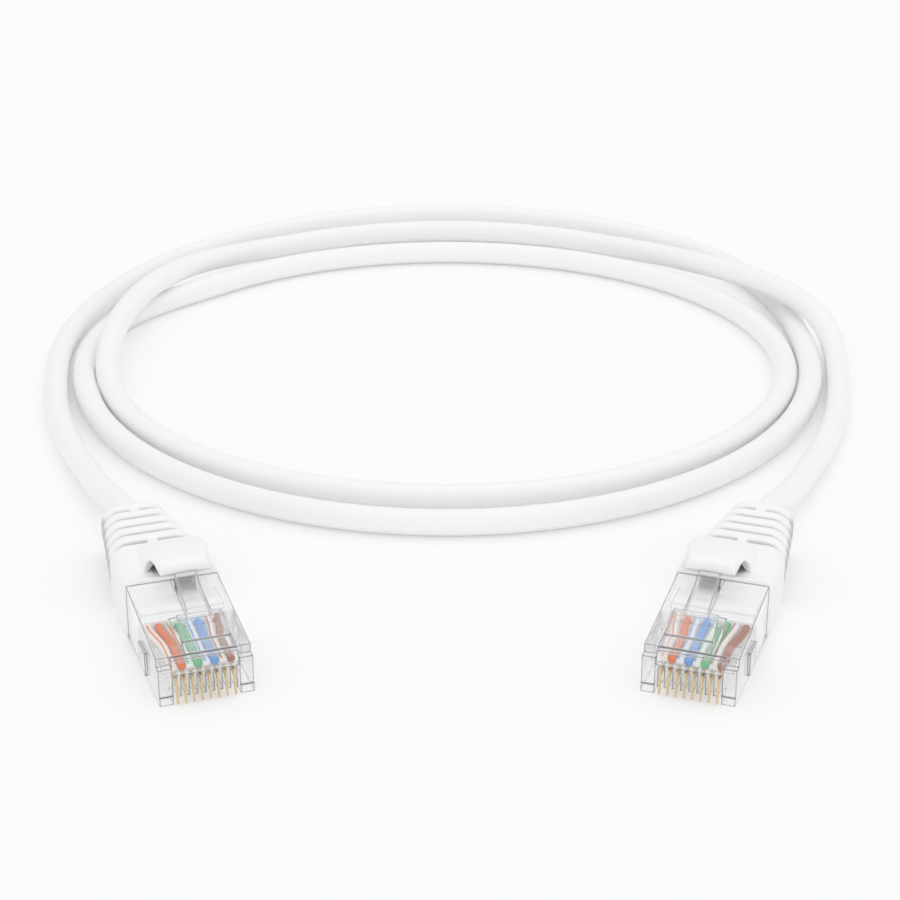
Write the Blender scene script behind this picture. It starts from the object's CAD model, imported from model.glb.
# %% [markdown]
# # Ethernet patch cable
# A slim white cord lies in a loose coil, with a clear modular plug, gold contacts and a ribbed boot on each end.
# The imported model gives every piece's place. This script gives each one its finish, and rebuilds the soft and
# rounded pieces as finer meshes in the same places.

# %% Load the frame
import math

import bpy
from mathutils import Matrix, Vector


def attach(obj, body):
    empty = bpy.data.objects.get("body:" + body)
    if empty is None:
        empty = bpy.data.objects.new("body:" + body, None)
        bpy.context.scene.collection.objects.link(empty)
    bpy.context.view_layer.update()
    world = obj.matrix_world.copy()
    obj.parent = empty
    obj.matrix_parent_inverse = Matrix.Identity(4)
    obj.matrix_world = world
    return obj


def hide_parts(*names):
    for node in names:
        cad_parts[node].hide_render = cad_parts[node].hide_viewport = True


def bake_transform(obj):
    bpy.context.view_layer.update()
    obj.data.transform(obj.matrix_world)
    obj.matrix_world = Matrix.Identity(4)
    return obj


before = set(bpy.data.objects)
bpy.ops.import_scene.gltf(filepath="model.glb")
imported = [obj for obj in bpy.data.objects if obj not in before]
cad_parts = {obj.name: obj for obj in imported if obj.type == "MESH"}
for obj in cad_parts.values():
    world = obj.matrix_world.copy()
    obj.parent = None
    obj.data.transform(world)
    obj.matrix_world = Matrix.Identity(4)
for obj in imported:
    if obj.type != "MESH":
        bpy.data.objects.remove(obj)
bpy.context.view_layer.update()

# %% [markdown]
# ## Sizes and places
# All sizes are in millimetres, as on a drawing, and become metres where points are made.
# Each plug end has its own frame: x across, y from the nose towards the cord, z up from the floor.

# %% Sizes that several pieces share
MM = 0.001
SIDES = {"left": -1, "right": 1}

CORD_D = 3.7
CORD_R = CORD_D / 2
CORD_AXIS_H = 3.95

NOSE_X = 28.8
PLUG_YAW = math.radians(19)
HOUSING_W, HOUSING_L, HOUSING_LIFT = 11.68, 21.46, 0.3
BOOT_FRONT, BOOT_END = 17.4, 41.5
TAIL_END_W = 7.8

nose_reach = HOUSING_W / 2 * math.sin(PLUG_YAW)
tail_reach = BOOT_END * math.cos(PLUG_YAW) + TAIL_END_W / 2 * math.sin(PLUG_YAW)
NOSE_Y = -(tail_reach - nose_reach) / 2


def place(side, point):
    """A point of a plug end's frame, in mm, as a point of the shared frame, in metres."""
    x, y, z = point
    s, c = math.sin(PLUG_YAW), math.cos(PLUG_YAW)
    return Vector((side * (NOSE_X + y * s) + x * c, NOSE_Y + y * c - side * x * s, z)) * MM


def place_matrix(side):
    """The same move as place(), for a whole mesh that was made in a plug end's frame."""
    s, c = math.sin(PLUG_YAW), math.cos(PLUG_YAW)
    turned = Matrix(((c, side * s, 0, side * NOSE_X), (-side * s, c, 0, NOSE_Y), (0, 0, 1, 0), (0, 0, 0, 1)))
    return Matrix.Scale(MM, 4) @ turned


def clamp01(x):
    return min(1.0, max(0.0, x))


def smooth(x):
    """0 below 0, 1 above 1, and an S-shaped ease between them."""
    x = clamp01(x)
    return x * x * (3 - 2 * x)


def mix(a, b, share):
    return a + (b - a) * share


def add_object(name, data):
    """A new object in the scene, unturned at the origin."""
    thing = bpy.data.objects.new(name, data)
    bpy.context.scene.collection.objects.link(thing)
    return thing


print("nose at", tuple(round(c, 4) for c in place(-1, (0, 0, 0))))

# %% [markdown]
# ## Camera
# A long lens looks down at about 25 degrees, so the coil reads as a flat ellipse and the plugs hardly converge.

# %% Camera
camera = add_object("camera", bpy.data.cameras.new("camera"))
camera.data.lens = 96
camera.data.sensor_width = 36
camera.data.shift_x = 0.0028
camera.data.clip_start, camera.data.clip_end = 0.01, 20
camera.location = (0, -0.26715, 0.1505)
camera.rotation_euler = (math.radians(64.7), 0, 0)
bpy.context.scene.camera = camera

# %% [markdown]
# ## The cord's route
# The real cord is one length of round cable. It leaves the left boot, runs two and a half turns clockwise, and
# goes into the right boot. Three lanes lie side by side. One length of cord can't lie in three closed lanes, so two
# strands swap lanes at the coil's left, and two at its right. The upper one climbs over the lower one.
# The turns come from a formula, and the short leads go through a few points chosen by hand.

# %% Coil formula
LANE_HALF_WIDTH = (61.2, 56.8, 52.8)
LANE_HALF_DEPTH = (64.5, 57.6, 48.3)
LANE_CENTRE_Y = (83.6, 81.8, 80.3)
COIL_TURNS = 2.5
OUTER_CROSSING, INNER_CROSSING = 22, 158
CROSSING_HALF_ANGLE = 22
CLIMB_ANGLE = 38
CROSSING_GAP = 0.5
CROSSING_LEAN = 5.9
COIL_TAIL_ANGLE = 8
LANDING_ANGLE = 1.6
LIFT_FLAT_SHARE = 0.2
LIFT_FLAT = CROSSING_HALF_ANGLE * LIFT_FLAT_SHARE
DESCENT_ANGLE = OUTER_CROSSING + COIL_TAIL_ANGLE - LIFT_FLAT - LANDING_ANGLE
OUTER_TURN, INNER_TURN = ((180 - direction) / 360 for direction in (OUTER_CROSSING, INNER_CROSSING))


def at_lane(values, lane):
    """A lane's value, or one between two lanes while the cord changes from one to the next."""
    i = min(len(values) - 2, int(lane))
    return mix(values[i], values[i + 1], lane - i)


def changed(since):
    """How far a lane change has gone, from 0 to 1, given the turns since its middle."""
    return smooth(since * 180 / CROSSING_HALF_ANGLE + 0.5)


def lifted(since, slope_angle):
    """Share of the lift, given the turns since the middle of a crossing."""
    return smooth(1 - (abs(since) * 360 - LIFT_FLAT) / slope_angle)


def coil_point(turn):
    """The cord's axis after a number of turns, in mm."""
    angle = math.radians(180 - 360 * turn)
    lane = (changed(turn - OUTER_TURN) + changed(turn - 1 - INNER_TURN)
            - changed(turn - 2 - INNER_TURN) - changed(turn - 2 - OUTER_TURN))
    past_outer = turn - 2 - OUTER_TURN
    lift = lifted(turn - 2 - INNER_TURN, CLIMB_ANGLE)
    lift += lifted(past_outer, CLIMB_ANGLE if past_outer < 0 else DESCENT_ANGLE)
    return Vector((
        at_lane(LANE_HALF_WIDTH, lane) * math.cos(angle),
        at_lane(LANE_CENTRE_Y, lane) + at_lane(LANE_HALF_DEPTH, lane) * math.sin(angle) - lift * CROSSING_LEAN,
        CORD_R + lift * (CORD_D + CROSSING_GAP),
    ))


# %% Whole route
LEAD_POINTS = ((-48.2, 32.2, 3.1), (-51.2, 39.5, 2.4), (-54.4, 47.5, 2), (-57, 55.5, 1.9), (-59, 63.5, CORD_R))
POINTS_PER_TURN = 90
LEAD_STEPS = 8
JOINING_TURN = 0.03


def curve_through(knots, steps):
    """Points of a smooth curve through the knots; the first and last knots only steer it."""
    points = []
    for a, b, c, d in zip(knots, knots[1:], knots[2:], knots[3:]):
        m1, m2 = (c - a) / 2, (d - b) / 2
        for i in range(steps):
            t = i / steps
            points.append(b * (2 * t**3 - 3 * t**2 + 1) + m1 * (t**3 - 2 * t**2 + t)
                          + c * (3 * t**2 - 2 * t**3) + m2 * (t**3 - t**2))
    return points


def lead_points(side):
    """The free stretch from a boot's tail to where the coil starts, in mm."""
    tail = [place(side, (0, BOOT_END + along, CORD_AXIS_H)) / MM for along in (-CORD_D, 0, CORD_D)]
    chosen = [Vector((-side * x, y, z)) for x, y, z in LEAD_POINTS]
    first = COIL_TAIL_ANGLE / 360
    if side < 0:
        turns = (-first, -first + JOINING_TURN)
    else:
        turns = (COIL_TURNS + first, COIL_TURNS + first - JOINING_TURN)
    return curve_through(tail + chosen + [coil_point(t) for t in turns], LEAD_STEPS)


coil_first = -COIL_TAIL_ANGLE / 360
coil_span = COIL_TURNS + 2 * COIL_TAIL_ANGLE / 360
coil_count = round(coil_span * POINTS_PER_TURN)
coil_points = [coil_point(coil_first + coil_span * i / coil_count) for i in range(coil_count + 1)]
route = lead_points(-1) + coil_points + list(reversed(lead_points(1)))

# %% [markdown]
# A curve with a round bevel makes the cord's skin. The radius is set on its points and the bevel's depth is 1,
# because a curve's bounding box counts the points' radius, and so it has the real size.

# %% Cord
cord_curve = bpy.data.curves.new("cord", "CURVE")
cord_curve.dimensions = "3D"
spline = cord_curve.splines.new("POLY")
spline.points.add(len(route) - 1)
for point, place_mm in zip(spline.points, route):
    point.co = (*(place_mm * MM), 1)
    point.radius = CORD_R * MM
spline.use_smooth = True
cord_curve.bevel_depth = 1.0
cord_curve.bevel_resolution = 7
cord_curve.twist_mode = "MINIMUM"
cord = add_object("cord", cord_curve)
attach(cord, "root")
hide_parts("cable_coil", "left_lead", "right_lead")

# %% [markdown]
# ## Finishes
# Each finish is a small node tree on the Principled shader. Moulded plastic is never one even colour: faint
# clouds in the colour and roughness and a fine grain in the bump keep it from looking like paint.
# The helpers below add the nodes. A Mix node has its factor and its two colours at sockets 0, 6 and 7.


# %% Node helpers
def feed(links, socket, value):
    """Links another node's output to a socket, or sets the socket to a number or a colour."""
    if isinstance(value, bpy.types.NodeSocket):
        links.new(value, socket)
    else:
        socket.default_value = (*value, 1) if isinstance(value, tuple) else value


def noise(nodes, links, coordinates, scale, detail=2.0):
    texture = nodes.new("ShaderNodeTexNoise")
    texture.inputs["Scale"].default_value = scale
    texture.inputs["Detail"].default_value = detail
    links.new(coordinates.outputs["Object"], texture.inputs["Vector"])
    return texture.outputs["Fac"]


def spread(nodes, links, source, low, high, start=0.0, end=1.0):
    """Maps a value that runs from start to end onto low to high."""
    node = nodes.new("ShaderNodeMapRange")
    for label, value in (("Value", source), ("From Min", start), ("From Max", end), ("To Min", low), ("To Max", high)):
        feed(links, node.inputs[label], value)
    return node.outputs["Result"]


def calculate(nodes, links, operation, *values):
    """A Math node on numbers or other nodes' outputs."""
    node = nodes.new("ShaderNodeMath")
    node.operation = operation
    for socket, value in zip(node.inputs, values):
        feed(links, socket, value)
    return node.outputs[0]


def blend_colours(nodes, links, factor, first, second):
    """The first colour where the factor is 0, and the second where it is 1."""
    node = nodes.new("ShaderNodeMix")
    node.data_type = "RGBA"
    for socket, value in ((0, factor), (6, first), (7, second)):
        feed(links, node.inputs[socket], value)
    return node.outputs[2]


def blend_shaders(nodes, links, factor, first, second):
    node = nodes.new("ShaderNodeMixShader")
    for socket, value in zip(node.inputs, (factor, first, second)):
        links.new(value, socket)
    return node.outputs["Shader"]


def ray_is(nodes, links, path, *kinds):
    """1 for a ray of any of these kinds, and 0 for any other."""
    share = path.outputs[f"Is {kinds[0]} Ray"]
    for kind in kinds[1:]:
        share = calculate(nodes, links, "MAXIMUM", share, path.outputs[f"Is {kind} Ray"])
    return share


# %% Moulded plastic
CLOUD_SCALE = 180
ROUGHNESS_CLOUDS = 0.05
GRAIN_DEPTH, GRAIN_STRENGTH = 0.00001, 0.25


def new_finish(name):
    finish = bpy.data.materials.new(name)
    finish.use_nodes = True
    nodes = finish.node_tree.nodes
    return finish, nodes, finish.node_tree.links, nodes["Principled BSDF"]


def moulded(name, light, dark, roughness, grain_scale, dust=None):
    """Opaque moulded plastic: two close colours, clouded roughness and a fine grain; dust in any grooves."""
    finish, nodes, links, shader = new_finish(name)
    coordinates = nodes.new("ShaderNodeTexCoord")
    clouds = noise(nodes, links, coordinates, CLOUD_SCALE)
    colour = blend_colours(nodes, links, clouds, light, dark)
    if dust:
        depth = nodes.new("ShaderNodeAttribute")
        depth.attribute_name = "groove"
        colour = blend_colours(nodes, links, depth.outputs["Fac"], colour, dust)
    links.new(colour, shader.inputs["Base Color"])
    rough = spread(nodes, links, clouds, roughness - ROUGHNESS_CLOUDS, roughness + ROUGHNESS_CLOUDS)
    links.new(rough, shader.inputs["Roughness"])
    bump = nodes.new("ShaderNodeBump")
    bump.inputs["Strength"].default_value = GRAIN_STRENGTH
    bump.inputs["Distance"].default_value = GRAIN_DEPTH
    links.new(noise(nodes, links, coordinates, grain_scale, 3.0), bump.inputs["Height"])
    links.new(bump.outputs["Normal"], shader.inputs["Normal"])
    return finish


# %% Opaque finishes
jacket_finish = moulded("white_pvc_jacket", (0.95, 0.95, 0.95), (0.935, 0.935, 0.94), 0.42, 2600)
boot_finish = moulded("white_boot_pvc", (0.95, 0.95, 0.95), (0.935, 0.935, 0.94), 0.48, 3200, dust=(0.50, 0.50, 0.52))
guide_finish = moulded("white_guide_plastic", (0.95, 0.95, 0.945), (0.92, 0.92, 0.92), 0.5, 3000)
cord.data.materials.append(jacket_finish)

gold_finish, nodes, links, shader = new_finish("gold_plate")
tarnish = noise(nodes, links, nodes.new("ShaderNodeTexCoord"), 900, 4.0)
links.new(blend_colours(nodes, links, tarnish, (0.90, 0.70, 0.40), (0.66, 0.47, 0.24)), shader.inputs["Base Color"])
links.new(spread(nodes, links, tarnish, 0.22, 0.38), shader.inputs["Roughness"])
shader.inputs["Metallic"].default_value = 1.0

# %% [markdown]
# Clear polycarbonate bends what is seen through it, and lamps reach the wires inside it. A real caustic takes
# very long to render. So by a Light Path switch, rays from lamps and rays that light a dull surface go straight
# through, and all others refract. Real edges are rounded a little and catch light. A Bevel node finds them: where
# its soft normal leaves the true one, the plastic gets a white line, with a dark core where the edge is sharp.

# %% Clear finish
CLEAR_TINT = (0.992, 0.994, 0.996)
CLEAR_SHARE = 0.97
CLEAR_IOR = 1.03
COAT_IOR, COAT_ROUGHNESS = 1.55, 0.03
FLOW_SCALE = 260
WHITE_LINE = (0.995, 0.975)
DARK_CORE = (0.93, 0.88)
LINE_BEHIND_SHARE = 0.35


def clear_plastic(name, tint, edge, edge_width, edge_share):
    """See-through plastic. edge is the colour of the edge lines' core; they are edge_width metres wide."""
    finish, nodes, links, shader = new_finish(name)
    for label, value in (("Transmission Weight", CLEAR_SHARE), ("IOR", CLEAR_IOR), ("Coat IOR", COAT_IOR),
                         ("Coat Roughness", COAT_ROUGHNESS)):
        shader.inputs[label].default_value = value
    flow = noise(nodes, links, nodes.new("ShaderNodeTexCoord"), FLOW_SCALE)
    links.new(spread(nodes, links, flow, 0.01, 0.05), shader.inputs["Roughness"])
    links.new(blend_colours(nodes, links, flow, tint, tuple(c * 0.985 for c in tint)), shader.inputs["Base Color"])
    geometry = nodes.new("ShaderNodeNewGeometry")
    links.new(spread(nodes, links, geometry.outputs["Backfacing"], 1.0, 0.0), shader.inputs["Coat Weight"])
    bevel = nodes.new("ShaderNodeBevel")
    bevel.samples = 6
    bevel.inputs["Radius"].default_value = edge_width
    turned = nodes.new("ShaderNodeVectorMath")
    turned.operation = "DOT_PRODUCT"
    links.new(bevel.outputs["Normal"], turned.inputs[0])
    links.new(geometry.outputs["True Normal"], turned.inputs[1])
    line = spread(nodes, links, turned.outputs["Value"], 0.0, 1.0, *WHITE_LINE)
    core = spread(nodes, links, turned.outputs["Value"], 0.0, 1.0, *DARK_CORE)
    ridge = nodes.new("ShaderNodeBsdfDiffuse")
    links.new(blend_colours(nodes, links, core, (1.0, 1.0, 1.0), edge), ridge.inputs["Color"])
    path = nodes.new("ShaderNodeLightPath")
    behind = calculate(nodes, links, "GREATER_THAN", path.outputs["Ray Depth"], 0.5)
    faded = calculate(nodes, links, "MULTIPLY", line, spread(nodes, links, behind, 1.0, LINE_BEHIND_SHARE))
    ridge_share = calculate(nodes, links, "MULTIPLY", faded, edge_share)
    edged = blend_shaders(nodes, links, ridge_share, shader.outputs["BSDF"], ridge.outputs["BSDF"])
    through = nodes.new("ShaderNodeBsdfTransparent")
    through.inputs["Color"].default_value = (*CLEAR_TINT, 1)
    unbent = ray_is(nodes, links, path, "Shadow", "Diffuse")
    surface = blend_shaders(nodes, links, unbent, edged, through.outputs["BSDF"])
    links.new(surface, nodes["Material Output"].inputs["Surface"])
    return finish


clear_finish = clear_plastic("clear_polycarbonate", CLEAR_TINT, (0.12, 0.125, 0.135), 0.0004, 0.9)
latch_finish = clear_plastic("clear_latch", (0.975, 0.978, 0.982), (0.16, 0.165, 0.175), 0.0004, 0.9)
comb_finish = clear_plastic("clear_comb", (0.98, 0.98, 0.975), (0.8, 0.8, 0.8), 0.0001, 0.4)

# %% [markdown]
# ## Boot
# The real boot is soft PVC moulded over the plug's rear: a smooth box with a thin front lip, then a tapered tail
# with five grooves that let it flex. It could be boxes with bevels, but the grooves wrap round a tapering body.
# So the shape is a loft: one cross-section function of the distance along the boot, sampled finely in the grooves.


# %% Mesh helpers
def mesh_piece(name, points, faces, finish, flat_above):
    """A smooth piece whose edges stay sharp where they turn by more than flat_above degrees."""
    mesh = bpy.data.meshes.new(name)
    mesh.from_pydata([tuple(p) for p in points], [], faces)
    mesh.validate()
    mesh.shade_smooth()
    mesh.set_sharp_from_angle(angle=math.radians(flat_above))
    mesh.materials.append(finish)
    return add_object(name, mesh)


def evaluated_mesh(thing):
    """The mesh of a thing with its modifiers done."""
    return bpy.data.meshes.new_from_object(thing.evaluated_get(bpy.context.evaluated_depsgraph_get()))


def loft_faces(rings, count, closed=False):
    """Quads between rings of count points; a closed loft joins its last ring to its first."""
    faces = []
    for i in range(rings if closed else rings - 1):
        a, b = i * count, (i + 1) % rings * count
        for j in range(count):
            k = (j + 1) % count
            faces.append((a + j, a + k, b + k, b + j))
    return faces


# %% Rounded sections
TOP_STEPS, SIDE_STEPS, BOTTOM_STEPS, CORNER_STEPS = 56, 10, 10, 8
ROUNDEST = 0.98


def rounded_section(half_w, low, high, r):
    """Points round a rounded rectangle in x and z, with outward normals: top from -x, then clockwise."""
    corners = ((1, 1, 90), (1, -1, 0), (-1, -1, -90), (-1, 1, -180))
    spans = (TOP_STEPS, SIDE_STEPS, BOTTOM_STEPS, SIDE_STEPS)
    middle, half_h = (low + high) / 2, (high - low) / 2
    r = min(r, half_w * ROUNDEST, half_h * ROUNDEST)
    section = []
    for n, (sx, sz, start) in enumerate(corners):
        px, pz, _ = corners[n - 1]
        from_angle = math.radians(start)
        normal = (math.cos(from_angle), math.sin(from_angle))
        ax = px * (half_w - r) + r * normal[0]
        az = middle + pz * (half_h - r) + r * normal[1]
        bx = sx * (half_w - r) + r * normal[0]
        bz = middle + sz * (half_h - r) + r * normal[1]
        for i in range(1, spans[n]):
            t = i / spans[n]
            section.append((mix(ax, bx, t), mix(az, bz, t), *normal))
        for i in range(CORNER_STEPS + 1):
            a = from_angle - math.radians(90) * i / CORNER_STEPS
            section.append((sx * (half_w - r) + r * math.cos(a), middle + sz * (half_h - r) + r * math.sin(a),
                            math.cos(a), math.sin(a)))
    return section


# %% Boot sizes
HOOD_SHIFT = 1.45
BOOT_TOP = 8.2
BOOT_BODY_END = 27.55
BODY_FRONT_HALF_W, BODY_REAR_HALF_W = 6.22, 5.95
BODY_CORNER_R = (1.05, 2.0)
BODY_CORNER_Y, BODY_CORNER_L = 22, 5
TAIL_HALF_W = (5.6, 3.9)
TAIL_LOW = (0.6, 1.05)
TAIL_HIGH = (8.1, 6.85)
TAIL_CORNER_R = (2.4, 2.2)
TAIL_SPAN = (0.12, 0.9)
GROOVES = 5
GROOVE_W = 1.05
GROOVE_DEPTH = 1.2
GROOVE_PITCH = 2.77
GROOVE_EDGE = 0.2
CROWN = 0.26
BRIDGE_W, BRIDGE_EDGE = 1.2, 0.25
SHOULDER = 1.0
MOUTH_R, END_R = 0.14, 0.28
LAST_RIB_END = BOOT_END - 0.3
POCKET_HALF_W, POCKET_LOW, POCKET_HIGH, POCKET_R = 5.87, 0.27, 7.73, 0.25
BORE_R = CORD_R + 0.05
BEAD_W, BEAD_H, BEAD_EDGE = 0.45, 0.09, 0.12

GROOVE_STARTS = [BOOT_BODY_END + GROOVE_PITCH * i for i in range(GROOVES)]


# %% The boot's outline
def groove_share(y):
    """0 on a rib, 1 on a groove's floor."""
    return max(min(smooth((y - start) / GROOVE_EDGE), smooth((start + GROOVE_W - y) / GROOVE_EDGE))
               for start in GROOVE_STARTS)


def off_bridge(x, y, on_top):
    """0 on a bridge, which crosses the top of the first and the last groove, and 1 elsewhere."""
    bridged = any(-0.1 < y - start < GROOVE_W + 0.1 for start in (GROOVE_STARTS[0], GROOVE_STARTS[-1]))
    return smooth((abs(x) - BRIDGE_W / 2) / BRIDGE_EDGE) if on_top and bridged else 1.0


def boot_section(y, inset=0.0):
    """The boot's outer outline at a distance y behind the nose."""
    past_body = y - BOOT_BODY_END
    tail = mix(*TAIL_SPAN, clamp01(int(past_body / GROOVE_PITCH) / (GROOVES - 1)) if past_body > 0 else 0.0)
    half_w, low, high, r = (mix(*ends, tail) for ends in (TAIL_HALF_W, TAIL_LOW, TAIL_HIGH, TAIL_CORNER_R))
    if past_body < 0:
        body = clamp01((y - BOOT_FRONT) / (BOOT_BODY_END - BOOT_FRONT))
        turn = clamp01((y - (BOOT_BODY_END - SHOULDER)) / SHOULDER)
        rounding = 1 - math.sqrt(1 - turn * turn)
        half_w = mix(mix(BODY_FRONT_HALF_W, BODY_REAR_HALF_W, body * body), half_w, rounding)
        low = mix(0.0, low, rounding)
        high = mix(BOOT_TOP, high, rounding)
        r = mix(mix(*BODY_CORNER_R, smooth((y - BODY_CORNER_Y) / BODY_CORNER_L)), r, rounding)
    on_rib = clamp01((past_body % GROOVE_PITCH - GROOVE_W) / (GROOVE_PITCH - GROOVE_W))
    crown = CROWN * math.sin(math.pi * on_rib) if past_body > 0 else 0.0
    bead = BEAD_H * smooth((BOOT_FRONT + BEAD_W - y) / BEAD_EDGE)
    groove = GROOVE_DEPTH * groove_share(y)
    section = []
    for x, z, nx, nz in rounded_section(half_w, low, high, r):
        depth = groove * off_bridge(x, y, nz > 0.9) + (inset - crown) - bead
        section.append((x - nx * depth, z - nz * depth))
    return section


# %% The duller places
RIB_DULL, RIB_DULL_H, RIB_DULL_L = 0.85, 6.4, 1.35
UNDER_HOOD_Y, UNDER_HOOD_HALF_W = (18.3, 25), 3.7


def soiled(side, x, y, z):
    """Share of the duller colour: in the grooves, on the ribs' sides next to them, and under the hood."""
    share = groove_share(y) * off_bridge(x, y, z > CORD_AXIS_H)
    if BOOT_BODY_END < y < LAST_RIB_END:
        past_groove = (y - BOOT_BODY_END) % GROOVE_PITCH - GROOVE_W
        share = max(share, RIB_DULL * smooth((RIB_DULL_H - z) / 1.2) * smooth((RIB_DULL_L - past_groove) / 0.45))
    if z <= BOOT_TOP - 0.4:
        return share
    middle = -side * HOOD_SHIFT
    covered = smooth((y - UNDER_HOOD_Y[0]) / 0.9) * smooth((UNDER_HOOD_Y[1] - y) / 0.5)
    return max(share, covered * smooth((UNDER_HOOD_HALF_W - abs(x - middle)) / 0.3))


# %% Boots
RIM_STEPS = 5


def stations():
    """Distances along the boot at which the loft has a ring, close together where the surface turns."""
    bead_end = BOOT_FRONT + BEAD_W
    ys = [bead_end + 0.15 + i * 0.5 for i in range(18)]
    ys += [bead_end - BEAD_EDGE * i / 4 for i in range(5)] + [BOOT_FRONT + MOUTH_R]
    ys += [BOOT_BODY_END - SHOULDER + SHOULDER * math.sin(math.radians(90) * i / 9) for i in range(9)]
    for start in GROOVE_STARTS:
        floor_end = start + GROOVE_W
        ys += [start + GROOVE_EDGE * i / 5 for i in range(6)]
        ys += [start + GROOVE_W / 2]
        ys += [floor_end - GROOVE_EDGE + GROOVE_EDGE * i / 5 for i in range(6)]
        rib_end = LAST_RIB_END if start == GROOVE_STARTS[-1] else start + GROOVE_PITCH
        ys += [mix(floor_end, rib_end, i / 7) for i in range(1, 7)]
    ys = sorted(set(round(y, 4) for y in ys))
    return [y for y in ys if y < BOOT_END - END_R]


def rim_rings(y, r, outwards):
    """Rings of a quarter round of radius r, from y on towards the end that outwards, -1 or 1, points to."""
    turns = [math.radians(90) * i / RIM_STEPS for i in range(RIM_STEPS + 1)]
    return [(y + outwards * r * math.sin(a), boot_section(y, r * (1 - math.cos(a)))) for a in turns]


def boot_mesh(name, side):
    """One closed loft: the front rim, the outside, the tail's rim, the cord's bore and the plug's pocket."""
    front_rim = rim_rings(BOOT_FRONT + MOUTH_R, MOUTH_R, -1)[::-1]
    outside = [(y, boot_section(y)) for y in stations()]
    tail_rim = rim_rings(BOOT_END - END_R, END_R, 1)
    bore = []
    for x, z in tail_rim[0][1]:
        a = math.atan2(z - CORD_AXIS_H, x)
        bore.append((BORE_R * math.cos(a), CORD_AXIS_H + BORE_R * math.sin(a)))
    pocket = [(x, z) for x, z, _, _ in rounded_section(POCKET_HALF_W, POCKET_LOW, POCKET_HIGH, POCKET_R)]
    inside = [(BOOT_END, bore), (HOUSING_L + 0.06, bore), (HOUSING_L + 0.05, pocket),
              (BOOT_FRONT + 0.08, pocket), (BOOT_FRONT, pocket)]
    loops = front_rim[:-1] + outside + tail_rim[1:] + inside
    points = [place(side, (x, y, z)) for y, ring in loops for x, z in ring]
    boot = mesh_piece(name, points, loft_faces(len(loops), len(bore), closed=True), boot_finish, flat_above=50)
    dull = boot.data.attributes.new("groove", "FLOAT", "POINT")
    outer = len(front_rim) - 1 + len(outside)
    dull.data.foreach_set("value", [soiled(side, x, y, z) if i < outer else 0.0
                                    for i, (y, ring) in enumerate(loops) for x, z in ring])
    return boot


for end, side in SIDES.items():
    boot = boot_mesh(f"{end}_boot_shell", side)
    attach(boot, "root")
    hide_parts(f"{end}_boot")
    print(boot.name, len(boot.data.polygons), "faces")

# %% [markdown]
# ## Hood
# The hood covers the latch's finger end, so that the latch doesn't snag when the cable is pulled back. On the real
# boot it is one arched sheet: two skirts stand on the boot, and a flap reaches forward and rolls down at its lip.
# The sheet is a grid of sections from rear to front. Four tables say how its crest, shoulders and feet run, in rows
# of a distance behind the nose and a value. It gets a thickness, and is subdivided so that its rims round off.

# %% The hood's tables
HOOD_SHEET = 0.6
HOOD_CREST = (
    (27.3, 8.14), (26.9, 8.4), (26.4, 8.75), (25.6, 9.1), (24.5, 9.45), (22.5, 9.95), (20.5, 10.35), (18.8, 10.58),
    (17.4, 10.62), (16.9, 10.56), (16.5, 10.4), (16.24, 10.1), (16.12, 9.75), (16.1, 9.35))
HOOD_TOP_HALF_W = ((27.3, 3.1), (18.6, 3.1), (16.1, 3.05))
HOOD_FOOT_HALF_W = (
    (27.3, 3.5), (26.3, 4.0), (25, 4.4), (23, 4.62), (20.4, 4.66), (19.4, 4.6), (19.33, 4.45), (19.28, 4.25),
    (19.18, 4.02), (19.0, 3.82), (18.7, 3.65), (18.3, 3.5), (17.8, 3.34), (17.0, 3.18), (16.1, 3.12))
HOOD_FOOT_H = (
    (27.3, 8.06), (19.4, 8.1), (19.36, 8.6), (19.33, 9.1), (19.28, 9.5), (19.18, 9.78), (19.0, 9.96), (18.75, 10.0),
    (18.4, 9.9), (18.0, 9.68), (17.6, 9.4), (17.2, 9.18), (16.8, 9.08), (16.5, 9.06), (16.1, 9.06))
HOOD_STATIONS = (
    27.3, 26.9, 26.4, 25.8, 25, 24.2, 23.4, 22.6, 21.9, 21.2, 20.6, 20.1, 19.75, 19.55, 19.45, 19.4, 19.37, 19.34,
    19.3, 19.25, 19.18, 19.08, 18.95, 18.78, 18.55, 18.28, 18.0, 17.7, 17.4, 17.1, 16.8, 16.55, 16.36, 16.22, 16.15,
    16.11, 16.1)
SKIRT_FOOT_TOP = 8.15
BOOT_EDGE_R, BOOT_EDGE_REACH = 1.5, 1.45
INNER_FLARE_Y, INNER_FLARE_L = 17, 6
INNER_FOOT_HALF_W, INNER_FOOT_FLARE, INNER_TOP_FLARE = 3.3, 1.3, 1.2
INNER_FOOT_SINK = 0.15
SHOULDER_DROP, SHOULDER_R = 0.1, 0.8
TOP_INSET, FOOT_INSET = 0.75, 0.85


def along_table(table, v):
    """Value at v of a table of (v, value) rows that run from rear to front."""
    if v >= table[0][0]:
        return table[0][1]
    for (a, low), (b, high) in zip(table, table[1:]):
        if b <= v:
            return mix(low, high, (a - v) / (a - b))
    return table[-1][1]


def boot_top_at(x):
    """Height of the boot's top at x, which falls away over its rounded edge."""
    past = abs(x) - (BODY_REAR_HALF_W - BOOT_EDGE_R)
    return BOOT_TOP - (BOOT_EDGE_R - math.sqrt(BOOT_EDGE_R**2 - min(past, BOOT_EDGE_REACH)**2) if past > 0 else 0.0)


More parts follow.
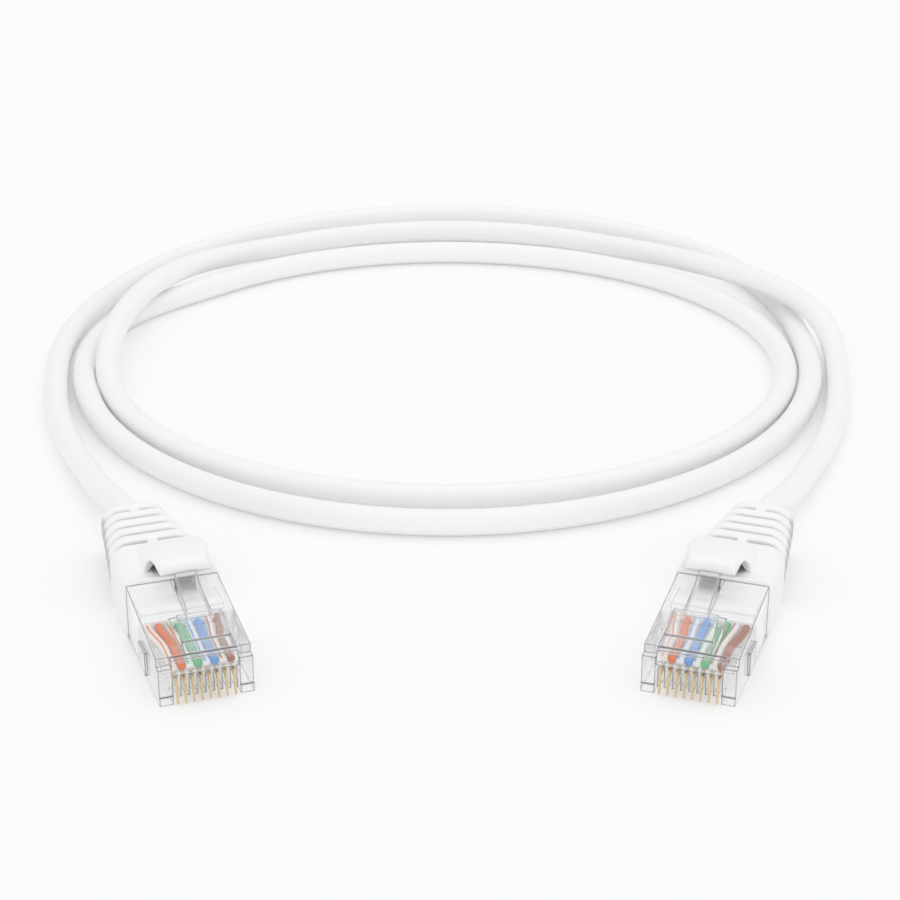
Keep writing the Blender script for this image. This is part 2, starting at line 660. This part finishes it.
# %% Half a section of the hood
def hood_half(v, inset, across):
    """Half of the hood's section at v, from its middle to a foot; across is 1 for the half by the other plug."""
    crest = along_table(HOOD_CREST, v) - inset
    half_w = along_table(HOOD_TOP_HALF_W, v) - inset * TOP_INSET
    foot_w = along_table(HOOD_FOOT_HALF_W, v)
    foot_h = along_table(HOOD_FOOT_H, v)
    if across > 0:
        flare = smooth((v - INNER_FLARE_Y) / INNER_FLARE_L)
        half_w += INNER_TOP_FLARE * flare
        foot_w = INNER_FOOT_HALF_W + INNER_FOOT_FLARE * flare
    if foot_h < SKIRT_FOOT_TOP:
        foot_h += boot_top_at(across * foot_w + HOOD_SHIFT) - BOOT_TOP - (INNER_FOOT_SINK if across > 0 else 0.0)
    foot_w -= inset * FOOT_INSET
    foot_h = min(foot_h, crest - SHOULDER_DROP + inset * 0.5)
    top, corner, foot = Vector((0, crest)), Vector((half_w, crest - SHOULDER_DROP)), Vector((foot_w, foot_h))
    soft = min(SHOULDER_R, (foot - corner).length * 0.5)
    start = corner + (top - corner).normalized() * soft
    end = corner + (foot - corner).normalized() * soft
    points = [top.lerp(start, i / 4) for i in range(4)]
    for i in range(5):
        t = i / 4
        points.append(start * (1 - t) ** 2 + corner * 2 * t * (1 - t) + end * t * t)
    points += [end.lerp(foot, share) for share in (0.35, 0.7, 0.93, 1)]
    return points


# %% Hoods
LIP_Y, LIP_L = 17.2, 1.1
HOOD_INSIDE_DULL = 0.55


def hood_grid(side, inset):
    """Points of the sheet's outer face, or of its inner face where inset is the sheet's thickness."""
    towards = -side
    grid = []
    for v in HOOD_STATIONS:
        inner_half, outer_half = (hood_half(v, inset, across) for across in (1, -1))
        y = v + inset * smooth((LIP_Y - v) / LIP_L) * 0.9
        row = [(-towards * u, y, w) for u, w in reversed(outer_half[1:])] + [(towards * u, y, w) for u, w in inner_half]
        grid.append([(x + towards * HOOD_SHIFT, y, z) for x, y, z in (row if side < 0 else reversed(row))])
    return grid


def hood_mesh(name, side):
    grids = [hood_grid(side, inset) for inset in (0, HOOD_SHEET)]
    rows, columns = len(HOOD_STATIONS), len(grids[0][0])
    points = [place(side, p) for grid in grids for row in grid for p in row]
    inner = rows * columns
    faces = []
    for i in range(rows - 1):
        for j in range(columns - 1):
            a, b, c, d = i * columns + j, i * columns + j + 1, (i + 1) * columns + j + 1, (i + 1) * columns + j
            faces += [(a, b, c, d), (inner + d, inner + c, inner + b, inner + a)]
    rim = (list(range(columns)) + [i * columns + columns - 1 for i in range(1, rows)]
           + [(rows - 1) * columns + j for j in range(columns - 2, -1, -1)]
           + [i * columns for i in range(rows - 2, 0, -1)])
    faces += [(a, inner + a, inner + b, b) for a, b in zip(rim, rim[1:] + rim[:1])]
    cage = mesh_piece(name + "_cage", points, faces, boot_finish, flat_above=180)
    dull = cage.data.attributes.new("groove", "FLOAT", "POINT")
    dull.data.foreach_set("value", [0.0] * inner + [HOOD_INSIDE_DULL] * inner)
    rounding = cage.modifiers.new("round", "SUBSURF")
    rounding.levels = rounding.render_levels = 2
    smooth_mesh = evaluated_mesh(cage)
    bpy.data.objects.remove(cage)
    smooth_mesh.shade_smooth()
    return add_object(name, smooth_mesh)


for end, side in SIDES.items():
    hood = hood_mesh(f"{end}_hood_shell", side)
    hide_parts(f"{end}_hood")
    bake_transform(hood)
    print(hood.name, len(hood.data.polygons), "faces")

# %% [markdown]
# ## CAD pieces that keep their shape
# The comb and the jacket come straight from the frame and only get a finish.

# %% Finishes on CAD nodes
CAD_FINISHES = {"wire_comb": comb_finish, "jacket": jacket_finish}
for end in SIDES:
    for piece, finish in CAD_FINISHES.items():
        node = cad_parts[f"{end}_{piece}"]
        node.data.materials.clear()
        node.data.materials.append(finish)

# %% [markdown]
# ## Plug housing
# The clear body is a wedge, higher at the back, with stepped corner posts and a tab on each side. It is hollowed
# for the wires and the guide, slotted for the contacts, and open on top where the latch sinks in. Blocks and Boolean
# cuts keep its edges as crisp as moulded polycarbonate's. Latch and channel sit a little towards the other plug.

# %% Blocks and cuts
BOX_FACES = ((0, 1, 3, 2), (4, 6, 7, 5), (0, 4, 5, 1), (2, 3, 7, 6), (0, 2, 6, 4), (1, 5, 7, 3))


def working_solid(points, faces):
    """A solid in millimetres that is only there to be cut or to cut."""
    mesh = bpy.data.meshes.new("working_solid")
    mesh.from_pydata(points, [], faces)
    return add_object("working_solid", mesh)


def blocks(*boxes):
    """Blocks, each given as its x, y and z from and to."""
    points, faces = [], []
    for x0, x1, y0, y1, z0, z1 in boxes:
        start = len(points)
        points += [(x, y, z) for x in (x0, x1) for y in (y0, y1) for z in (z0, z1)]
        faces += [tuple(start + i for i in face) for face in BOX_FACES]
    return working_solid(points, faces)


def wide_block(middle, half_w, box):
    """A block across the plug, given its middle, half its width, and its y and z from and to."""
    return blocks((middle - half_w, middle + half_w, *box))


def extruded(profile, half_w):
    """A side outline of (y, z) points, back along the bottom and forward along the top, made solid across x."""
    count = len(profile)
    points = [(x, y, z) for x in (-half_w, half_w) for y, z in profile]
    faces = [tuple(reversed(range(count))), tuple(range(count, 2 * count))]
    faces += [((i + 1) % count, count + (i + 1) % count, count + i, i) for i in range(count)]
    return working_solid(points, faces)


def built_mesh(base, steps):
    """The base with other solids joined to it or cut out of it, in turn."""
    for operation, tool in steps:
        step = base.modifiers.new(operation, "BOOLEAN")
        step.operation, step.solver, step.object = operation, "EXACT", tool
    mesh = evaluated_mesh(base)
    for solid in [base] + [tool for _, tool in steps]:
        bpy.data.objects.remove(solid)
    return mesh


# %% Housing sizes
HOUSING_HALF = HOUSING_W / 2
FACE_Y, NOSE_TOP, HOUSING_TOP = 1.2, 6.2, 7.7
HOUSING_PROFILE = ((FACE_Y, HOUSING_LIFT), (HOUSING_L, HOUSING_LIFT), (HOUSING_L, HOUSING_TOP),
                   (BOOT_FRONT + 0.8, HOUSING_TOP), (FACE_Y, NOSE_TOP))
WINDOW_HALF, WINDOW_TOP, WINDOW_DEPTH = 4.14, 3.9, 1.6
POST_DEPTH, POST_TOP, POST_STEP_H, POST_STEP = 2.2, 5.1, 1.4, 0.2
TAB_W, TAB_Y, TAB_Z = 0.35, (6.3, 9.6), (1.1, 4.2)
CONTACTS, CONTACT_PITCH, SLOT_W = 8, 1.02, 0.45
SHOULDER_HALF, SHOULDER_REAR_HALF, LEVER_HALF = 3.0, 2.8, 1.38
LATCH_SHIFT, LATCH_SKEW = 0.85, math.radians(2.6)
CHANNEL_GAP = 0.2

# Each box is y from and to, then z from and to.
BROW = (0.5, 1.3, WINDOW_TOP, 6.0)
WINDOW = (-0.1, WINDOW_DEPTH, 0.2, WINDOW_TOP)
CONTACT_SLOT = (1.5, 4.3, 0.2, 3.7)
WIRE_HALF_W, WIRE_CHAMBER = 5.1, (1.9, 13.9, 3.6, 4.85)
INSIDE_HALF_W, INSIDE_CHAMBER = 5.3, (12.05, HOUSING_L + 0.1, 1.1, 6.1)
ROOF_CHAMBER = (BOOT_FRONT + 0.1, HOUSING_L + 0.1, 6.05, 7.5)
SHOULDER_CHANNEL = (1.35, 9.1, 5.35, 9)
LEVER_CHANNEL, LEVER_CHANNEL_MIDDLE = (9, BOOT_FRONT, 6.4, 9), 13


def latch_middle(side, along):
    """The latch's middle across the plug, which drifts towards the other plug on the way back."""
    return -side * (LATCH_SHIFT + math.tan(LATCH_SKEW) * along)


def contact_x(i, pitch=CONTACT_PITCH):
    return (i - (CONTACTS - 1) / 2) * pitch


# %% Housings
def housing_mesh(side):
    lower_posts, upper_posts, tabs = [], [], []
    for outward in (-1, 1):
        post_x = sorted((outward * WINDOW_HALF, outward * HOUSING_HALF))
        upper_posts.append((*post_x, POST_STEP, POST_DEPTH, POST_STEP_H, POST_TOP))
        lower_posts.append((*post_x, 0, POST_DEPTH, HOUSING_LIFT, POST_STEP_H))
        tab_x = sorted((outward * (HOUSING_HALF - 0.2), outward * (HOUSING_HALF + TAB_W)))
        tabs.append((*tab_x, *TAB_Y, *TAB_Z))
    slots = [(contact_x(i) - SLOT_W / 2, contact_x(i) + SLOT_W / 2, *CONTACT_SLOT) for i in range(CONTACTS)]
    joined = [blocks(*upper_posts), blocks(*lower_posts), blocks(*tabs), wide_block(0, WINDOW_HALF, BROW)]
    cut = [wide_block(0, WINDOW_HALF, WINDOW), wide_block(0, WIRE_HALF_W, WIRE_CHAMBER),
           wide_block(0, INSIDE_HALF_W, INSIDE_CHAMBER), wide_block(0, INSIDE_HALF_W, ROOF_CHAMBER), blocks(*slots),
           wide_block(latch_middle(side, 0), SHOULDER_HALF + CHANNEL_GAP, SHOULDER_CHANNEL),
           wide_block(latch_middle(side, LEVER_CHANNEL_MIDDLE), LEVER_HALF + CHANNEL_GAP, LEVER_CHANNEL)]
    steps = [("UNION", solid) for solid in joined] + [("DIFFERENCE", solid) for solid in cut]
    return built_mesh(extruded(HOUSING_PROFILE, HOUSING_HALF), steps)


for end, side in SIDES.items():
    mesh = housing_mesh(side)
    mesh.transform(place_matrix(side))
    mesh.materials.append(clear_finish)
    housing = add_object(f"{end}_housing_shell", mesh)
    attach(housing, "root")
    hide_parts(f"{end}_housing")
    print(housing.name, len(mesh.polygons), "faces")

# %% [markdown]
# ## Latch
# The latch is one clear piece: a wide block with a low step hinges at the nose, and a narrow lever runs back from it
# under the hood. It is a loft of rectangles, so all of its edges stay sharp. Each row of the table is one of them:
# its distance along the latch, half its width, and its lower and upper edge from the latch's axis.

# %% Latches
LATCH_ROOT_Y, LATCH_ROOT_H, LATCH_SLOPE = 2, 6, math.radians(12.5)
LATCH_SECTIONS = (
    (-0.5, SHOULDER_HALF, -0.45, 0.22), (1.3, SHOULDER_HALF, -0.5, 0.36), (1.32, SHOULDER_HALF, -0.5, 0.6),
    (6.1, SHOULDER_REAR_HALF, -0.5, 0.6), (6.12, LEVER_HALF, -0.4, 0.4), (14.65, LEVER_HALF, -0.9, -0.12))


def latch_mesh(name, side):
    points = []
    for along, half_w, low, high in LATCH_SECTIONS:
        for x, raised in ((-half_w, low), (half_w, low), (half_w, high), (-half_w, high)):
            y = LATCH_ROOT_Y + along * math.cos(LATCH_SLOPE) - raised * math.sin(LATCH_SLOPE)
            z = LATCH_ROOT_H + along * math.sin(LATCH_SLOPE) + raised * math.cos(LATCH_SLOPE)
            points.append(place(side, (latch_middle(side, along) + x, y, z)))
    faces = [tuple(reversed(face)) for face in loft_faces(len(LATCH_SECTIONS), 4)]
    faces += [(0, 1, 2, 3), tuple(reversed(range(len(points) - 4, len(points))))]
    latch = mesh_piece(name, points, faces, latch_finish, flat_above=5)
    latch.data.shade_flat()
    return latch


for end, side in SIDES.items():
    latch = latch_mesh(f"{end}_latch_clip", side)
    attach(latch, f"{end}_latch_body")
    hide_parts(f"{end}_latch")

# %% [markdown]
# ## Wire guide
# A white insert fans the wires out and grips the cord's jacket. Seen through the clear walls it fills the plug's
# whole width, and it rises to the boot's roof at the mouth, but for a channel under the latch. Its side outline is
# made solid, cut for the channel, and gets narrow bevels.

# %% Wire guides
GUIDE_FRONT, GUIDE_BACK = 12.1, 21.2
GUIDE_NOSE_H, GUIDE_SLOPE_L = 4.8, 1.8
GUIDE_HALF_W, GUIDE_LOW, GUIDE_HIGH = 5.79, 0.9, 6.05
GUIDE_RISE_Y, GUIDE_RISE_L, GUIDE_REAR_H = 16.3, 1.0, 7.6
GUIDE_BEVEL = 0.12
GUIDE_CHANNEL, GUIDE_CHANNEL_MIDDLE = (GUIDE_FRONT, GUIDE_BACK + 1, GUIDE_HIGH, 9), 16


def rise(y, length, low, high, steps):
    """Side-outline points of an S-shaped rise from low to high that starts at y."""
    return [(y + length * i / steps, mix(low, high, smooth(i / steps))) for i in range(steps + 1)]


def guide_mesh(name, side):
    top = rise(GUIDE_FRONT, GUIDE_SLOPE_L, GUIDE_NOSE_H, GUIDE_HIGH, 8)
    top += rise(GUIDE_RISE_Y, GUIDE_RISE_L, GUIDE_HIGH, GUIDE_REAR_H, 6)
    outline = [(GUIDE_FRONT, GUIDE_LOW), (GUIDE_BACK, GUIDE_LOW), (GUIDE_BACK, GUIDE_REAR_H)] + top[::-1]
    channel = wide_block(latch_middle(side, GUIDE_CHANNEL_MIDDLE), LEVER_HALF, GUIDE_CHANNEL)
    cut = add_object("cut_guide", built_mesh(extruded(outline, GUIDE_HALF_W), [("DIFFERENCE", channel)]))
    bevel = cut.modifiers.new("narrow_edges", "BEVEL")
    bevel.width, bevel.segments, bevel.angle_limit = GUIDE_BEVEL, 2, math.radians(40)
    mesh = evaluated_mesh(cut)
    bpy.data.objects.remove(cut)
    mesh.transform(place_matrix(side))
    mesh.materials.clear()
    mesh.materials.append(guide_finish)
    return add_object(name, mesh)


for end, side in SIDES.items():
    guide = guide_mesh(f"{end}_guide_insert", side)
    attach(guide, "root")
    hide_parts(f"{end}_wire_guide")

# %% [markdown]
# ## Contacts
# Eight gold-plated blades stand side by side, with two teeth each that bite through a wire's insulation. They are
# all alike, so one blade is drawn, and Geometry Nodes repeat it along a line at the contacts' pitch.

# %% One blade
CONTACT_T = 0.22
BLADE_FRONT, BLADE_BACK = 0.08, 4.2
BLADE_LOW, BLADE_HIGH = 0.1, 3.26
BLADE_LEAN = 0.5
BLADE_SHELF = 2.5
TEETH = ((2.32, 2.68), (3.57, 3.93))
TOOTH_TOP, TOOTH_POINT = 4.1, 0.3
NOSE_R = 0.21
BAR_W, BAR_CHAMFER = 0.3, 0.2


def blade_outline():
    """The blade from the side, as (y, z) points: a leaning bar with a round foot, and a level bar with two teeth."""
    outline = [(BLADE_BACK, BLADE_SHELF), (BLADE_BACK, BLADE_HIGH)]
    for front, back in reversed(TEETH):
        outline += [(back, BLADE_HIGH), (back, TOOTH_TOP - TOOTH_POINT), ((front + back) / 2, TOOTH_TOP),
                    (front, TOOTH_TOP - TOOTH_POINT), (front, BLADE_HIGH)]
    bar_top = BLADE_FRONT + BLADE_LEAN
    outline += [(bar_top + BAR_CHAMFER, BLADE_HIGH), (bar_top, BLADE_HIGH - BAR_CHAMFER)]
    for i in range(7):
        a = math.radians(180 + 30 * i)
        outline.append((BLADE_FRONT + NOSE_R + NOSE_R * math.cos(a), BLADE_LOW + NOSE_R + NOSE_R * math.sin(a)))
    return outline + [(bar_top + BAR_W, BLADE_SHELF)]


# %% A row of blades
def contact_row_tree():
    tree = bpy.data.node_groups.new("contact_row", "GeometryNodeTree")
    for label, kind in (("Blade", "Geometry"), ("Count", "Int"), ("Pitch", "Float"), ("Finish", "Material")):
        tree.interface.new_socket(label, in_out="INPUT", socket_type="NodeSocket" + kind)
    tree.interface.new_socket("Row", in_out="OUTPUT", socket_type="NodeSocketGeometry")
    inputs, step, line, copies, real, finished, result = (tree.nodes.new(kind) for kind in (
        "NodeGroupInput", "ShaderNodeCombineXYZ", "GeometryNodeMeshLine", "GeometryNodeInstanceOnPoints",
        "GeometryNodeRealizeInstances", "GeometryNodeSetMaterial", "NodeGroupOutput"))
    for source, output, target, socket in (
            (inputs, "Pitch", step, "X"), (inputs, "Count", line, "Count"), (step, "Vector", line, "Offset"),
            (line, "Mesh", copies, "Points"), (inputs, "Blade", copies, "Instance"),
            (copies, "Instances", real, "Geometry"), (real, "Geometry", finished, "Geometry"),
            (inputs, "Finish", finished, "Material"), (finished, "Geometry", result, "Row")):
        tree.links.new(source.outputs[output], target.inputs[socket])
    return tree


contact_row = contact_row_tree()
for end, side in SIDES.items():
    row = extruded(blade_outline(), CONTACT_T / 2)
    row.name = f"{end}_contact_row"
    repeat = row.modifiers.new("repeat", "NODES")
    repeat.node_group = contact_row
    for label, value in (("Count", CONTACTS), ("Pitch", CONTACT_PITCH), ("Finish", gold_finish)):
        repeat[contact_row.interface.items_tree[label].identifier] = value
    blades = evaluated_mesh(row)
    row.modifiers.clear()
    blades.transform(place_matrix(side) @ Matrix.Translation((contact_x(0), 0, 0)))
    row.data = blades
    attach(row, "root")
    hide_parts(f"{end}_contacts")
    print(row.name, len(blades.polygons), "faces")

# %% [markdown]
# ## Wires
# Eight insulated wires run from the contacts to the guide and fan out on the way. Four have one plain colour, and
# the other four are white with a stripe in the same colour. A stripe has to follow its wire, so each wire is a loft
# whose UV map goes once round it, and the finish paints a narrow band of that map.

# %% Wire finishes
WIRE_COLOURS = {
    "white_orange": ((0.90, 0.86, 0.82), (0.85, 0.22, 0.06)), "orange": ((0.80, 0.17, 0.03), None),
    "white_green": ((0.88, 0.90, 0.87), (0.10, 0.50, 0.22)), "green": ((0.10, 0.52, 0.22), None),
    "white_blue": ((0.87, 0.89, 0.92), (0.10, 0.30, 0.72)), "blue": ((0.09, 0.33, 0.78), None),
    "white_brown": ((0.90, 0.86, 0.83), (0.36, 0.13, 0.07)), "brown": ((0.38, 0.13, 0.07), None),
}
WIRE_ORDER = {
    "left": ("white_orange", "orange", "white_green", "green", "white_blue", "blue", "white_brown", "brown"),
    "right": ("white_orange", "orange", "white_blue", "blue", "white_green", "green", "white_brown", "brown"),
}
WIRE_UV = "round_and_along"
STRIPE_PLACE, STRIPE_HALF_W = 0.32, 0.035


def wire_finish(name, ground, stripe):
    finish, nodes, links, shader = new_finish("wire_" + name)
    clouds = noise(nodes, links, nodes.new("ShaderNodeTexCoord"), 700)
    colour = blend_colours(nodes, links, clouds, ground, tuple(c * 0.9 for c in ground))
    if stripe:
        uv, split = nodes.new("ShaderNodeUVMap"), nodes.new("ShaderNodeSeparateXYZ")
        uv.uv_map = WIRE_UV
        links.new(uv.outputs["UV"], split.inputs[0])
        on_stripe = calculate(nodes, links, "COMPARE", split.outputs["X"], STRIPE_PLACE, STRIPE_HALF_W)
        colour = blend_colours(nodes, links, on_stripe, colour, stripe)
    links.new(colour, shader.inputs["Base Color"])
    links.new(spread(nodes, links, clouds, 0.3, 0.42), shader.inputs["Roughness"])
    return finish


wire_finishes = {name: wire_finish(name, *colours) for name, colours in WIRE_COLOURS.items()}

# %% Wires
WIRE_R = 0.5
WIRE_END_SHARE = 0.85
WIRE_H = 4.12
WIRE_FRONT = 1.95
FAN_PITCH = 1.24
STRAIGHT_END, FAN_END, WIRE_END = 6.4, 11.8, 14.2
WIRE_SIDES = 20


def wire_axis(i):
    """The (x, y) points that a wire runs through: straight, out to the wider pitch, and straight."""
    ys = [WIRE_FRONT, WIRE_FRONT + 0.05, STRAIGHT_END]
    ys += [mix(STRAIGHT_END, FAN_END, s / 10) for s in range(1, 11)] + [WIRE_END]
    fanned = [smooth((y - STRAIGHT_END) / (FAN_END - STRAIGHT_END)) for y in ys]
    return [(mix(contact_x(i), contact_x(i, FAN_PITCH), share), y) for share, y in zip(fanned, ys)]


def wire_mesh(name, side, i, finish):
    axis = wire_axis(i)
    points = []
    for n, (x, y) in enumerate(axis):
        r = WIRE_R * (WIRE_END_SHARE if n == 0 else 1.0)
        for j in range(WIRE_SIDES):
            a = 2 * math.pi * j / WIRE_SIDES
            points.append(place(side, (x + r * math.cos(a), y, WIRE_H + r * math.sin(a))))
    faces = [tuple(reversed(f)) for f in loft_faces(len(axis), WIRE_SIDES)]
    faces.append(tuple(range(WIRE_SIDES)))
    faces.append(tuple(reversed(range((len(axis) - 1) * WIRE_SIDES, len(axis) * WIRE_SIDES))))
    piece = mesh_piece(name, points, faces, finish, flat_above=50)
    layer = piece.data.uv_layers.new(name=WIRE_UV)
    for polygon in piece.data.polygons:
        sides = [v % WIRE_SIDES for v in polygon.vertices]
        at_seam = len(sides) == 4 and WIRE_SIDES - 1 in sides
        for loop in polygon.loop_indices:
            ring, j = divmod(piece.data.loops[loop].vertex_index, WIRE_SIDES)
            layer.data[loop].uv = (1.0 if at_seam and j == 0 else j / WIRE_SIDES, axis[ring][1] / WIRE_END)
    return piece


for end, side in SIDES.items():
    for i, colour in enumerate(WIRE_ORDER[end]):
        wire = wire_mesh(f"{end}_wire_{i + 1}_skin", side, i, wire_finishes[colour])
        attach(wire, "root")
        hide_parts(f"{end}_wire_{i + 1}")

# %% [markdown]
# ## Floor and light
# The cable lies on a white table under a bright, even studio light. The floor's own colour makes the background,
# with a share of plain white where it is seen, straight or in metal or glass. The lamps' share stays, and with it
# the object's shadow. Metal and glass reflect a greyer band at the world's horizon; the camera sees it white.

# %% Floor
FLOOR_GLOW = 0.4
floor_finish, nodes, links, shader = new_finish("white_table")
shader.inputs["Base Color"].default_value = (0.97, 0.97, 0.975, 1)
shader.inputs["Roughness"].default_value = 0.9
shader.inputs["Specular IOR Level"].default_value = 0.1
white = nodes.new("ShaderNodeEmission")
white.inputs["Color"].default_value = (1, 1, 1, 1)
seen = ray_is(nodes, links, nodes.new("ShaderNodeLightPath"), "Camera", "Glossy", "Transmission")
glow = calculate(nodes, links, "MULTIPLY", seen, FLOOR_GLOW)
surface = blend_shaders(nodes, links, glow, shader.outputs["BSDF"], white.outputs["Emission"])
links.new(surface, nodes["Material Output"].inputs["Surface"])
bpy.ops.mesh.primitive_plane_add(size=6, location=(0, 0, -0.00003))
floor = bpy.context.object
floor.name = "table"
floor.data.materials.append(floor_finish)

# %% Light
SKY_LIGHT = 0.86
HORIZON = (0.72, 0.73, 0.75)
world = bpy.data.worlds.new("studio")
bpy.context.scene.world = world
world.use_nodes = True
nodes, links = world.node_tree.nodes, world.node_tree.links
sky = nodes["Background"]
height = nodes.new("ShaderNodeSeparateXYZ")
links.new(nodes.new("ShaderNodeTexCoord").outputs["Generated"], height.inputs[0])
band = nodes.new("ShaderNodeValToRGB")
band.color_ramp.elements[0].position, band.color_ramp.elements[0].color = 0.05, (*HORIZON, 1)
band.color_ramp.elements[1].position, band.color_ramp.elements[1].color = 0.5, (1, 1, 1, 1)
links.new(calculate(nodes, links, "ABSOLUTE", height.outputs["Z"]), band.inputs[0])
path = nodes.new("ShaderNodeLightPath")
reflected = ray_is(nodes, links, path, "Glossy", "Transmission")
links.new(blend_colours(nodes, links, reflected, (1, 1, 1), band.outputs["Color"]), sky.inputs["Color"])
links.new(spread(nodes, links, path.outputs["Is Camera Ray"], SKY_LIGHT, 1.0), sky.inputs["Strength"])


# %% Lamps
COIL_MIDDLE = Vector((0, 0.07, 0))
LAMP_SIZE = 1.2


def softbox(name, power, spot):
    lamp = add_object(name, bpy.data.lights.new(name, "AREA"))
    lamp.data.energy, lamp.data.size = power, LAMP_SIZE
    lamp.location = spot
    lamp.rotation_euler = (COIL_MIDDLE - Vector(spot)).to_track_quat("-Z", "Y").to_euler()


softbox("overhead", 2.2, (0.2, 0.3, 1.2))
softbox("front_fill", 1.6, (0, -1.3, 0.5))

# %% [markdown]
# ## Settings and finish
# The Standard view shows a colour as it is written. The two boxes, in metres, show that the size has stayed.

# %% Settings and finish
bpy.context.scene.view_settings.view_transform = "Standard"
